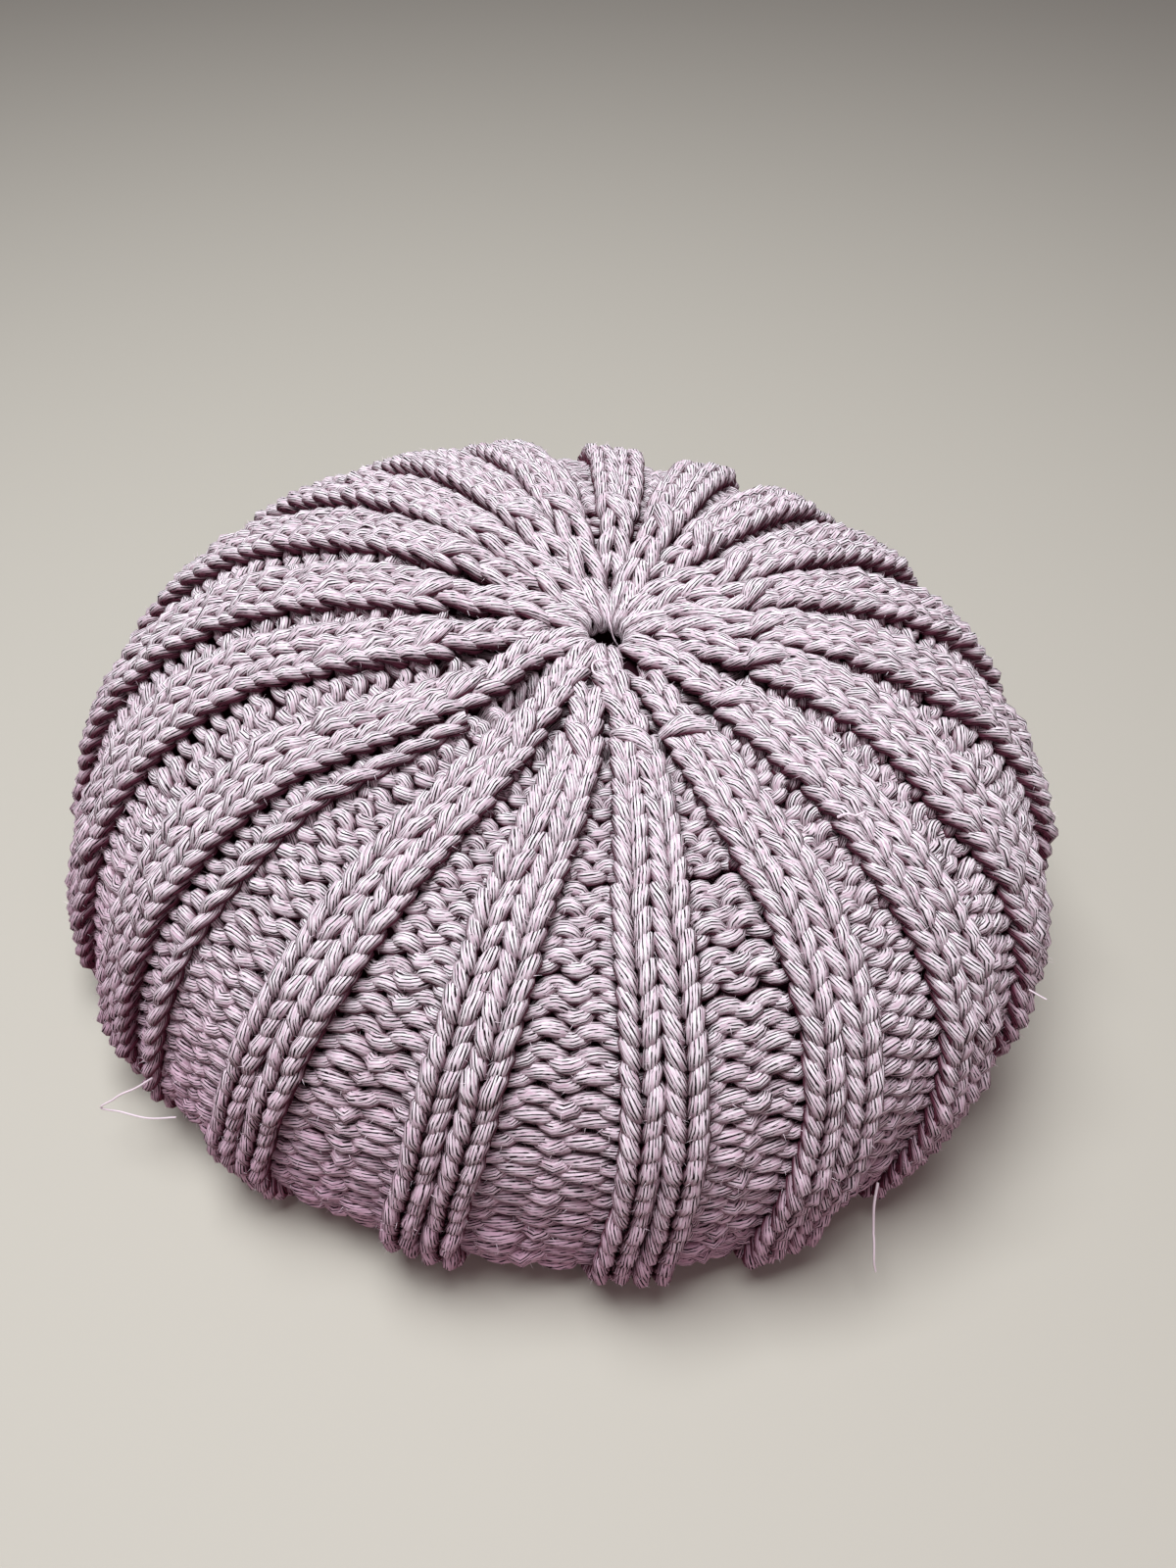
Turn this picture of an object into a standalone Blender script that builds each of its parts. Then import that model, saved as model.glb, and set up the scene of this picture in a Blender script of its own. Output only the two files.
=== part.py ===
# Knitted floor pouf: one filled cover in chunky 2 x 2 rib, drawn up to a small hole at the crown.
# Metres, +Z up. The origin is under the middle of the pouf and the front is at -Y.

import math
from collections import namedtuple

import bmesh
import bpy
from mathutils import Vector

# The filled body. Its level sections are ovals that shift and shrink towards the crown.
RADIUS = 0.226
HEIGHT = 0.202
WIDEST_AT = 0.039
UPPER_FULLNESS = 2.63
LOWER_FULLNESS = 1.96
FOOT_SHARE = 0.865
CROWN_SHIFT = (0.040, 0.007)
CROWN_DIP = 0.026
CROWN_DIP_SPREAD = 0.27
BACK_RISE = 0.011
FOOT_CENTRE = (-0.0035, 0.0013)

# Waves that make the round section uneven: how many go round, their share of the radius, a crest in degrees
Wave = namedtuple("Wave", "count share crest")
WAVES = (
    Wave(2, 0.0863, -29.4),
    Wave(3, 0.0092, 27.3),
    Wave(4, 0.0142, -41.3),
)

# Each rib's middle in degrees from +X: at the widest ring, on the shoulder and at the crown
Rib = namedtuple("Rib", "kind widest shoulder crown")
RIBS = (
    Rib("rib", -76.0, -81.0, -80.0),
    Rib("rib", -99.0, -101.5, -98.0),
    Rib("rib", -123.0, -122.0, -117.0),
    Rib("seam", -139.0, -141.0, -132.0),
    Rib("rib", -148.0, -152.0, -143.0),
    Rib("rib", -165.0, -174.0, -169.0),
    Rib("rib", -186.0, -190.0, -191.0),
    Rib("rib", -203.0, -207.0, -210.0),
    Rib("rib", -220.0, -222.0, -224.0),
    Rib("rib", -237.0, -237.0, -239.0),
    Rib("rib", -254.0, -252.0, -254.0),
    Rib("rib", -273.0, -274.0, -275.0),
    Rib("rib", -293.0, -294.0, -294.0),
    Rib("rib", -312.0, -313.0, -312.0),
    Rib("rib", -332.0, -331.0, -332.0),
    Rib("rib", -350.0, -349.0, -347.0),
    Rib("rib", -371.0, -368.0, -363.0),
    Rib("rib", -390.0, -388.0, -378.0),
    Rib("rib", -404.0, -404.0, -400.0),
    Rib("rib", -420.0, -420.0, -422.0),
)
SHOULDER_TURN = 0.6
CROWN_TURN = 0.9

# A rib is two knit wales with a groove between them, and hollow purl panels lie between ribs
RIB_HALF = 0.016
RIB_HALF_SHARE = 0.40
SEAM_HALF = 0.009
GROOVE_DEPTH = 0.003
EDGE_DEPTH = 0.005
PANEL_DEPTH = 0.009
SEAM_DEPTH = 0.003
FULL_RELIEF_PITCH = 0.050
MERGE_RADIUS = 0.060
RELIEF_GONE_TURN = -0.9

# The open gather at the crown, and the closed one under the pouf
RIM_RADIUS = 0.013
Well = namedtuple("Well", "radius depth")
WELL = (
    Well(0.0, 0.032),
    Well(0.0055, 0.030),
    Well(0.0070, 0.016),
    Well(0.0080, 0.006),
)
CLOSED_GATHER_RADIUS = 0.014
CLOSED_GATHER_DEPTH = 0.006

COLUMNS_PER_RIB = 8
CROWN_ROWS = 5
DOME_ROWS = 13
SIDE_ROWS = 5
FIRST_DOME_TURN = 0.86
NORMAL_STEP = 0.004

COVER_COLOUR = (0.44, 0.31, 0.36, 1.0)
COVER_ROUGHNESS = 0.9


def clear_scene():
    for old in list(bpy.data.objects):
        bpy.data.objects.remove(old, do_unlink=True)


def wavy_radius(azimuth):
    total = 1.0
    for wave in WAVES:
        total += wave.share * math.cos(wave.count * (azimuth - math.radians(wave.crest)))
    return RADIUS * total


def body_point(azimuth, turn):
    """A point of the smooth body. turn is 1 at the crown, 0 at the widest ring and -1 at the floor."""
    angle = abs(turn) * math.pi / 2
    radius = wavy_radius(azimuth)
    if turn < 0:
        share = FOOT_SHARE + (1 - FOOT_SHARE) * math.cos(angle) ** (2 / LOWER_FULLNESS)
        height = WIDEST_AT * (1 - math.sin(angle) ** (2 / LOWER_FULLNESS))
        rise = 0.0
    else:
        share = max(math.cos(angle), 0.0) ** (2 / UPPER_FULLNESS)
        rise = math.sin(angle) ** (2 / UPPER_FULLNESS)
        dip = math.exp(-share / CROWN_DIP_SPREAD) - math.exp(-1 / CROWN_DIP_SPREAD)
        height = WIDEST_AT + (HEIGHT - WIDEST_AT) * rise - CROWN_DIP * dip
        height += BACK_RISE * math.sin(azimuth) * 4 * share * (1 - share)
    x = FOOT_CENTRE[0] + CROWN_SHIFT[0] * rise + radius * share * math.cos(azimuth)
    y = FOOT_CENTRE[1] + CROWN_SHIFT[1] * rise + radius * share * math.sin(azimuth)
    return Vector((x, y, height))


def body_normal(azimuth, turn):
    around = body_point(azimuth + NORMAL_STEP, turn) - body_point(azimuth - NORMAL_STEP, turn)
    above = min(turn + NORMAL_STEP, 0.999)
    below = max(turn - NORMAL_STEP, -0.999)
    return around.cross(body_point(azimuth, above) - body_point(azimuth, below)).normalized()


def turn_at_share(wanted):
    """The upper turn at which the section has shrunk to this share of the widest radius."""
    return math.acos(wanted ** (UPPER_FULLNESS / 2)) * 2 / math.pi


def between(low, high, share):
    return low + (high - low) * share


def rib_azimuth(rib, turn):
    if turn <= 0:
        return math.radians(rib.widest)
    if turn <= SHOULDER_TURN:
        return math.radians(between(rib.widest, rib.shoulder, turn / SHOULDER_TURN))
    share = min((turn - SHOULDER_TURN) / (CROWN_TURN - SHOULDER_TURN), 1.0)
    return math.radians(between(rib.shoulder, rib.crown, share))


def rib_half_angle(rib, turn, radius):
    """Half the angle that a rib covers. Near the crown the ribs shrink so that all of them fit."""
    full = RIB_HALF if rib.kind == "rib" else SEAM_HALF
    pitch = 2 * math.pi * radius / len(RIBS)
    return min(full, RIB_HALF_SHARE * pitch) / radius


def column_places(turn, radius):
    """(azimuth, depth) of every column: each rib's five columns, then three across the panel after it."""
    pitch = 2 * math.pi * radius / len(RIBS)
    relief = min(pitch / FULL_RELIEF_PITCH, 1.0)
    if turn < 0:
        relief *= max(1 - turn / RELIEF_GONE_TURN, 0.0)
    merged = min(max(1 - (radius - MERGE_RADIUS) / MERGE_RADIUS, 0.0), 1.0)
    places = []
    for index, rib in enumerate(RIBS):
        following = RIBS[(index + 1) % len(RIBS)]
        middle = rib_azimuth(rib, turn)
        next_middle = rib_azimuth(following, turn)
        if index + 1 == len(RIBS):
            next_middle -= 2 * math.pi
        half = rib_half_angle(rib, turn, radius)
        next_half = rib_half_angle(following, turn, radius)
        if rib.kind == "seam":
            depths = (PANEL_DEPTH, EDGE_DEPTH, SEAM_DEPTH, EDGE_DEPTH, PANEL_DEPTH)
        else:
            groove = between(GROOVE_DEPTH, 0.0, merged)
            crest = between(0.0, GROOVE_DEPTH, merged)
            depths = (EDGE_DEPTH, crest, groove, crest, EDGE_DEPTH)
        for step, depth in enumerate(depths):
            places.append((middle + half * (1 - step / 2), depth * relief))
        panel_start = middle - half
        panel_end = next_middle + next_half
        for step in (1, 2, 3):
            places.append((between(panel_start, panel_end, step / 4), PANEL_DEPTH * relief))
    return places


def body_row(turn):
    """One ring of the ribbed surface."""
    radius = (body_point(0.0, turn) - body_point(math.pi, turn)).length / 2
    row = []
    for azimuth, depth in column_places(turn, radius):
        row.append(body_point(azimuth, turn) - body_normal(azimuth, turn) * depth)
    return row


def circle_row(centre, radius, turn):
    row = []
    for azimuth, _ in column_places(turn, RIM_RADIUS):
        row.append(centre + Vector((math.cos(azimuth), math.sin(azimuth), 0.0)) * radius)
    return row


def cover_rows():
    """All rings from the bottom of the crown's well round the dome to the closed gather underneath."""
    rim_turn = turn_at_share(RIM_RADIUS / RADIUS)
    rim = body_row(rim_turn)
    centre = sum(rim, Vector()) / len(rim)
    rows = []
    for ring in WELL:
        rows.append(circle_row(centre - Vector((0.0, 0.0, ring.depth)), ring.radius, rim_turn))
    rows.append(rim)
    for step in range(1, CROWN_ROWS):
        rows.append(body_row(between(rim_turn, FIRST_DOME_TURN, step / CROWN_ROWS)))
    for step in range(DOME_ROWS):
        rows.append(body_row(between(FIRST_DOME_TURN, 0.0, step / DOME_ROWS)))
    for step in range(SIDE_ROWS + 1):
        rows.append(body_row(-step / SIDE_ROWS))
    foot = Vector((FOOT_CENTRE[0], FOOT_CENTRE[1], 0.0))
    rows.append(circle_row(foot, CLOSED_GATHER_RADIUS, rim_turn))
    rows.append(circle_row(foot + Vector((0.0, 0.0, CLOSED_GATHER_DEPTH)), 0.0, rim_turn))
    return rows


def place_sphere_points(mesh, rows, columns):
    """Moves each point of a sphere to the ring and column that its latitude and longitude name."""
    last = len(rows) - 1
    for vert in mesh.verts:
        ring = round(math.acos(max(-1.0, min(1.0, vert.co.z))) / math.pi * last)
        longitude = math.atan2(vert.co.y, vert.co.x)
        column = round(-longitude / (2 * math.pi) * columns) % columns
        vert.co = rows[ring][column]


def add_material(name, colour, roughness):
    material = bpy.data.materials.new(name)
    material.use_nodes = True
    shader = material.node_tree.nodes["Principled BSDF"]
    shader.inputs["Base Color"].default_value = colour
    shader.inputs["Roughness"].default_value = roughness
    shader.inputs["Metallic"].default_value = 0.0
    return material


def add_cover(collection):
    rows = cover_rows()
    columns = COLUMNS_PER_RIB * len(RIBS)
    mesh = bmesh.new()
    bmesh.ops.create_uvsphere(mesh, u_segments=columns, v_segments=len(rows) - 1, radius=1.0)
    place_sphere_points(mesh, rows, columns)
    data = bpy.data.meshes.new("knit_cover")
    mesh.to_mesh(data)
    mesh.free()
    data.shade_smooth()
    data.materials.append(add_material("pink_cotton_knit", COVER_COLOUR, COVER_ROUGHNESS))
    cover = bpy.data.objects.new("knit_cover", data)
    collection.objects.link(cover)
    return cover


def main():
    clear_scene()
    collection = bpy.data.collections.new("knitted_pouf")
    bpy.context.scene.collection.children.link(collection)
    add_cover(collection)


main()
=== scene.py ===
# Knitted floor pouf: the looks. Every stitch is a tube of yarn laid on the pouf's own surface.
import math

import bmesh
import bpy
import numpy as np
from mathutils import Matrix, Vector


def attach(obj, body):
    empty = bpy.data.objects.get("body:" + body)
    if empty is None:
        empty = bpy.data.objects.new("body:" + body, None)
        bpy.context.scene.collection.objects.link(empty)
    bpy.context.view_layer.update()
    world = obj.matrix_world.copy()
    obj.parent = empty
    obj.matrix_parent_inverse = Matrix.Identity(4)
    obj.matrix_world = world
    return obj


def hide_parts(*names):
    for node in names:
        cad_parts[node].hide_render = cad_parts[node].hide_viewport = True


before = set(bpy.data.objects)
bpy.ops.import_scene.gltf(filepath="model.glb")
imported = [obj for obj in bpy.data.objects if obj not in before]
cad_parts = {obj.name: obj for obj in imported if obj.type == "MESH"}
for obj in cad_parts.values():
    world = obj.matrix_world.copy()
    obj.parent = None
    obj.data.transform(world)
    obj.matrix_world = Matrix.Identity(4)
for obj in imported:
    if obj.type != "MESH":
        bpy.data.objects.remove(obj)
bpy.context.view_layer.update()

mm = 0.001
rng = np.random.default_rng(20)


def hexColour(text):
    # sRGB hex to the linear colour that the shaders want
    channels = [int(text[place:place + 2], 16) / 255 for place in (1, 3, 5)]
    linear = [c / 12.92 if c <= 0.04045 else ((c + 0.055) / 1.055) ** 2.4 for c in channels]
    return (*linear, 1.0)


def addNode(tree, kind, links=None, values=None, **settings):
    # one node with its settings, its fixed values and its links, {input: (node, output)}
    node = tree.nodes.new(kind)
    for name, value in settings.items():
        setattr(node, name, value)
    for key, value in (values or {}).items():
        node.inputs[key].default_value = value
    for key, (source, output) in (links or {}).items():
        tree.links.new(source.outputs[output], node.inputs[key])
    return node


# camera: in front of the pouf at standing height, looking steeply down
cameraView = {
    "place": (0.0296, -0.4085, 0.525),
    "pitchDown": 46.7,
    "roll": 0.9,
    "lens": 28.35,
    "sensor": 36.0,
}


def addCamera():
    data = bpy.data.cameras.new("photoCamera")
    data.lens = cameraView["lens"]
    data.sensor_width = cameraView["sensor"]
    data.clip_start = 0.02
    camera = bpy.data.objects.new("photoCamera", data)
    turn = Matrix.Rotation(math.radians(90 - cameraView["pitchDown"]), 4, "X")
    turn = turn @ Matrix.Rotation(math.radians(cameraView["roll"]), 4, "Z")
    camera.matrix_world = Matrix.Translation(cameraView["place"]) @ turn
    bpy.context.scene.collection.objects.link(camera)
    bpy.context.scene.camera = camera


addCamera()
print("camera placed")

# the filled body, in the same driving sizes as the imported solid
pouf = {
    "radius": 0.226,
    "height": 0.202,
    "widestAt": 0.039,
    "upperFullness": 2.63,
    "lowerFullness": 1.96,
    "footShare": 0.865,
    "crownShift": (0.040, 0.007),
    "crownDip": 0.026,
    "crownDipSpread": 0.27,
    "backRise": 0.011,
    "footCentre": (-0.0035, 0.0013),
    "waves": ((2, 0.0863, -29.4), (3, 0.0092, 27.3), (4, 0.0142, -41.3)),  # count, share, crest
    "rimRadius": 0.013,
    "rimBend": 0.0063,
    "wellDepth": 0.030,
    "gatherRadius": 0.055,
    "shoulderTurn": 0.6,
    "crownTurn": 0.9,
}

# Ribs clockwise from the front: name, then the middle in degrees at the widest ring, on the shoulder,
# at the crown and at the rim. Every second rib has been knitted off before the rim, at the radius
# in the last column.
ribs = (
    ("A", -76, -81, -80, -88, 0),
    ("B", -99, -101.5, -98, -104, 0.037),
    ("C", -123, -122, -117, -124, 0),
    ("D", -139, -141, -132, -134, 0.080),
    ("E", -148, -152, -143, -163, 0),
    ("F", -165, -174, -169, -180, 0.030),
    ("G", -186, -190, -191, -205, 0),
    ("H", -203, -207, -210, -216, 0.044),
    ("I", -220, -222, -224, -230, 0),
    ("J", -237, -237, -239, -240, 0.039),
    ("K", -254, -252, -254, -254, 0),
    ("L", -273, -274, -275, -272, 0.036),
    ("M", -293, -294, -294, -293, 0),
    ("N", -312, -313, -312, -306, 0.040),
    ("O", -332, -331, -332, -317, 0),
    ("P", -350, -349, -347, -330, 0.032),
    ("Q", -371, -368, -363, -343, 0),
    ("R", -390, -388, -378, -366, 0.025),
    ("S", -404, -404, -400, -391, 0),
    ("T", -420, -420, -422, -414, 0.036),
)
seamRib = 3


def bodyPoint(azimuth, turn):
    # a point of the smooth body: turn is 1 at the crown, 0 at the widest ring and -1 at the floor
    radius = np.full(np.shape(azimuth), 1.0)
    for count, share, crest in pouf["waves"]:
        radius = radius + share * np.cos(count * (azimuth - math.radians(crest)))
    radius = radius * pouf["radius"]
    angle = np.abs(turn) * np.pi / 2
    cosine = np.clip(np.cos(angle), 0, 1)
    sine = np.clip(np.sin(angle), 0, 1)
    lowShare = pouf["footShare"] + (1 - pouf["footShare"]) * cosine ** (2 / pouf["lowerFullness"])
    lowHeight = pouf["widestAt"] * (1 - sine ** (2 / pouf["lowerFullness"]))
    highShare = cosine ** (2 / pouf["upperFullness"])
    highRise = sine ** (2 / pouf["upperFullness"])
    spread = pouf["crownDipSpread"]
    dip = pouf["crownDip"] * (np.exp(-highShare / spread) - math.exp(-1 / spread))
    highHeight = pouf["widestAt"] + (pouf["height"] - pouf["widestAt"]) * highRise - dip
    highHeight = highHeight + pouf["backRise"] * np.sin(azimuth) * 4 * highShare * (1 - highShare)
    share = np.where(turn < 0, lowShare, highShare)
    height = np.where(turn < 0, lowHeight, highHeight)
    rise = np.where(turn < 0, 0.0, highRise)
    x = pouf["footCentre"][0] + pouf["crownShift"][0] * rise + radius * share * np.cos(azimuth)
    y = pouf["footCentre"][1] + pouf["crownShift"][1] * rise + radius * share * np.sin(azimuth)
    return np.stack([x, y, height], -1), radius * share


# The surface is kept as a grid. Its first coordinate, down, is the share of the way from the crown
# to the floor: its first few hundredths run down into the hole, and from 1 to 2 it crosses the underside.
grid = {
    "azimuths": 361,
    "downs": 700,
    "first": -0.04,
    "last": 2.0,
    "domeSteps": (160, 240),  # rings of a meridian, evenly in radius and evenly in turn
    "evenTurnsFrom": 0.9,
    "wellSteps": 40,
    "underSteps": 60,
    "flatFrom": 1.97,  # from here on the underside's normal is straight down
}
azimuthGrid = np.linspace(0, 2 * np.pi, grid["azimuths"])
downGrid = np.linspace(grid["first"], grid["last"], grid["downs"])


def turnAtShare(share):
    return np.arccos(share ** (pouf["upperFullness"] / 2)) * 2 / np.pi


def makeSurface():
    evenRadii, evenTurns = grid["domeSteps"]
    shares = np.linspace(pouf["rimRadius"] / pouf["radius"], 1, evenRadii)
    turns = np.linspace(grid["evenTurnsFrom"], -1, evenTurns)
    turns = np.unique(np.concatenate([turnAtShare(shares), turns]))[::-1]
    turns = turns[turns <= turnAtShare(shares[0])]
    points = np.zeros((grid["downs"], grid["azimuths"], 3))
    reach = np.zeros((grid["downs"], grid["azimuths"]))
    turnAt = np.zeros((grid["downs"], grid["azimuths"]))
    lengths = np.zeros(grid["azimuths"])
    foot = np.array([*pouf["footCentre"], 0.0])
    rimRing, _ = bodyPoint(azimuthGrid[:-1], np.full(grid["azimuths"] - 1, turns[0]))
    rimCentre = rimRing.mean(0)
    bend = pouf["rimBend"]
    for column, azimuth in enumerate(azimuthGrid):
        meridian, radii = bodyPoint(np.full(len(turns), azimuth), turns)
        steps = np.linalg.norm(np.diff(meridian, axis=0), axis=1)
        along = radii[0] + np.concatenate([[0], np.cumsum(steps)])
        lengths[column] = along[-1]
        outwards = np.array([math.cos(azimuth), math.sin(azimuth), 0.0])
        inside = np.linspace(0.5 * mm, pouf["wellDepth"], grid["wellSteps"])
        angles = np.minimum(inside / bend, np.pi / 2)
        drop = bend * (1 - np.cos(angles)) + np.maximum(inside - bend * np.pi / 2, 0)
        rimPoint = rimCentre + outwards * radii[0]
        rimPoint[2] = meridian[0, 2]
        well = rimPoint - outwards * (bend * np.sin(angles))[:, None]
        well[:, 2] -= drop
        across = np.linspace(0.004, 1, grid["underSteps"])
        under = meridian[-1] + (foot - meridian[-1]) * across[:, None]
        line = np.concatenate([well[::-1], meridian, under])
        place = np.concatenate([(along[0] - inside[::-1]) / along[-1], along / along[-1], 1 + across])
        lineTurn = [np.full(len(inside), turns[0]), turns, np.full(len(across), -1.0)]
        lineTurn = np.concatenate(lineTurn)
        lineReach = [radii[0] - bend * np.sin(angles[::-1]), radii, radii[-1] * (1 - across)]
        lineReach = np.concatenate(lineReach)
        for axis in range(3):
            points[:, column, axis] = np.interp(downGrid, place, line[:, axis])
        reach[:, column] = np.interp(downGrid, place, lineReach)
        turnAt[:, column] = np.interp(downGrid, place, lineTurn)
    around = np.gradient(points, axis=1)
    around[:, 0] = around[:, -1] = points[:, 1] - points[:, -2]
    normals = np.cross(np.gradient(points, axis=0), around)
    sizes = np.linalg.norm(normals, axis=2, keepdims=True)
    normals = normals / np.maximum(sizes, 1e-12)
    normals[downGrid > grid["flatFrom"]] = (0, 0, -1)
    return points, normals, reach, turnAt, lengths


surface, surfaceNormals, surfaceReach, surfaceTurn, meridianLengths = makeSurface()


def lookUp(field, azimuth, down):
    # bilinear reading of a grid field
    column = (np.mod(azimuth, 2 * np.pi)) / (2 * np.pi) * (grid["azimuths"] - 1)
    row = (down - grid["first"]) / (grid["last"] - grid["first"]) * (grid["downs"] - 1)
    row = np.clip(row, 0, grid["downs"] - 1.001)
    left = np.minimum(column.astype(int), grid["azimuths"] - 2)
    top = row.astype(int)
    shareX = column - left
    shareY = row - top
    if field.ndim == 3:
        shareX = shareX[..., None]
        shareY = shareY[..., None]
    upper = field[top, left] * (1 - shareX) + field[top, left + 1] * shareX
    lower = field[top + 1, left] * (1 - shareX) + field[top + 1, left + 1] * shareX
    return upper * (1 - shareY) + lower * shareY


def onBody(azimuth, down, depth):
    # the point this deep under the pouf's envelope, and the way out of the surface there
    normal = lookUp(surfaceNormals, azimuth, down)
    normal = normal / np.linalg.norm(normal, axis=-1, keepdims=True)
    return lookUp(surface, azimuth, down) - normal * depth[..., None], normal


# how wide the ribs are, and where the two wales of each merge into one
gauge = {
    "fullRib": 36.5 * mm,
    "ribPitch": 34 * mm,
    "footFlare": 0.12,
    "seamWidth": 9 * mm,
    # how far a panel runs on under the ribs, and the panel widths from which that shrinks to nothing
    "tuckUnder": (4.5 * mm, 9 * mm, 30 * mm),
    "mergeDown": 0.185,
    "rows": 31,
    "underRows": 14,
    "lean": {"knit": (1.42, 1.08), "purl": (1.6, 1.6)},  # at the crown and at the floor
    "arch": {"knit": -0.05, "purl": 0.1},
    "loopHeight": {"knit": 0.85, "purl": 0.78},  # half the height of a loop in rows
    "swing": {"knit": 3.7 * mm, "purl": 4.0 * mm},
    "tuck": 0.9 * mm,
    "knitDepth": 6.9 * mm,
    "purlDepth": 15.6 * mm,
    "crownRelief": 0.8,
    "fullReliefPitch": 40 * mm,
    "footRelief": 0.35,
    "footTurn": -0.9,
    "unevenSize": 0.11,
    "unevenHeight": 0.08,
    "unevenSide": 0.026,
    "unevenParts": (0.4, 2, 0.3),  # what an uneven size does to a loop's height, swing and thickness
    "ownShare": 0.7,  # the share of half a wale that takes nothing over from its neighbour
    "headCrowding": 0.22,  # how much closer together the samples lie in the heads of the loops
    "leanSpan": 0.6,  # share of the way down over which the lean changes
}


def ribMiddles():
    middles = np.zeros((len(ribs), grid["downs"]))
    for index, (_, widest, shoulder, crown, rim, _) in enumerate(ribs):
        azimuth = np.full(grid["downs"], math.radians(shoulder))
        for _ in range(4):  # a few passes, because the turn depends a little on the azimuth
            turn = lookUp(surfaceTurn, azimuth, downGrid)
            heights = (0, pouf["shoulderTurn"], pouf["crownTurn"])
            azimuth = np.radians(np.interp(turn, heights, (widest, shoulder, crown)))
            reach = lookUp(surfaceReach, azimuth, downGrid)
            share = (pouf["gatherRadius"] - reach) / (pouf["gatherRadius"] - pouf["rimRadius"])
            azimuth = azimuth + np.clip(share, 0, 1) * math.radians(rim - crown)
        middles[index] = azimuth
    return middles


middles = ribMiddles()
ribReach = np.array([lookUp(surfaceReach, row, downGrid) for row in middles])
ribReach = np.maximum(ribReach, 4 * mm)  # so that no width turns into a huge angle near the axis


def ribPitches():
    # the room that each rib has, half of the way to each neighbour
    before = np.roll(middles, 1, 0)
    before[0] += 2 * np.pi
    after = np.roll(middles, -1, 0)
    after[-1] -= 2 * np.pi
    return (before - after) / 2 * ribReach


pitches = ribPitches()
meanPitch = pitches.mean(0)


def waleEdges():
    # azimuths of every wale's two edges down the pouf, and the kind of each wale, clockwise from rib A
    width = gauge["fullRib"] * (1 - np.exp(-pitches / gauge["ribPitch"]))
    turns = np.array([lookUp(surfaceTurn, row, downGrid) for row in middles])
    width = width * (1 + gauge["footFlare"] * np.clip(-turns, 0, 1))
    half = width / 2 / ribReach
    half[seamRib] = np.minimum(gauge["seamWidth"], 0.5 * pitches[seamRib]) / 2 / ribReach[seamRib]
    starts = []
    ends = []
    kinds = []
    most, narrow, wide = gauge["tuckUnder"]
    for index in range(len(ribs)):
        following = (index + 1) % len(ribs)
        wrap = 2 * np.pi if following == 0 else 0.0
        start = middles[index] + half[index]
        end = middles[index] - half[index]
        nextStart = middles[following] + half[following] - wrap
        if index == seamRib:
            starts.append(start)
            ends.append(end)
            kinds.append("purl")
            starts.append(end)
            ends.append(nextStart)
            kinds.append("purl")
        else:
            panel = (end - nextStart) * ribReach[index]
            under = most * np.clip((wide - panel) / (wide - narrow), 0, 1) / ribReach[index]
            centre = (end + nextStart) / 2
            starts += [start, middles[index], end + under, centre]
            ends += [middles[index], end, centre, nextStart - under]
            kinds += ["knit", "knit", "purl", "purl"]
    return np.array(starts), np.array(ends), kinds


waleStarts, waleEnds, waleKinds = waleEdges()


def relief(down):
    # how much of the rib's full depth is left: less near the crown, and little where the panels bulge
    # out to the floor
    atCrown = np.interp(meanPitch, (0, gauge["fullReliefPitch"]), (gauge["crownRelief"], 1))
    atFoot = np.interp(surfaceTurn.mean(1), (gauge["footTurn"], 0), (gauge["footRelief"], 1))
    return np.interp(down, downGrid, atCrown * atFoot)


def closed(*values):
    return tuple(np.append(each, each[0]) for each in values)


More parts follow.
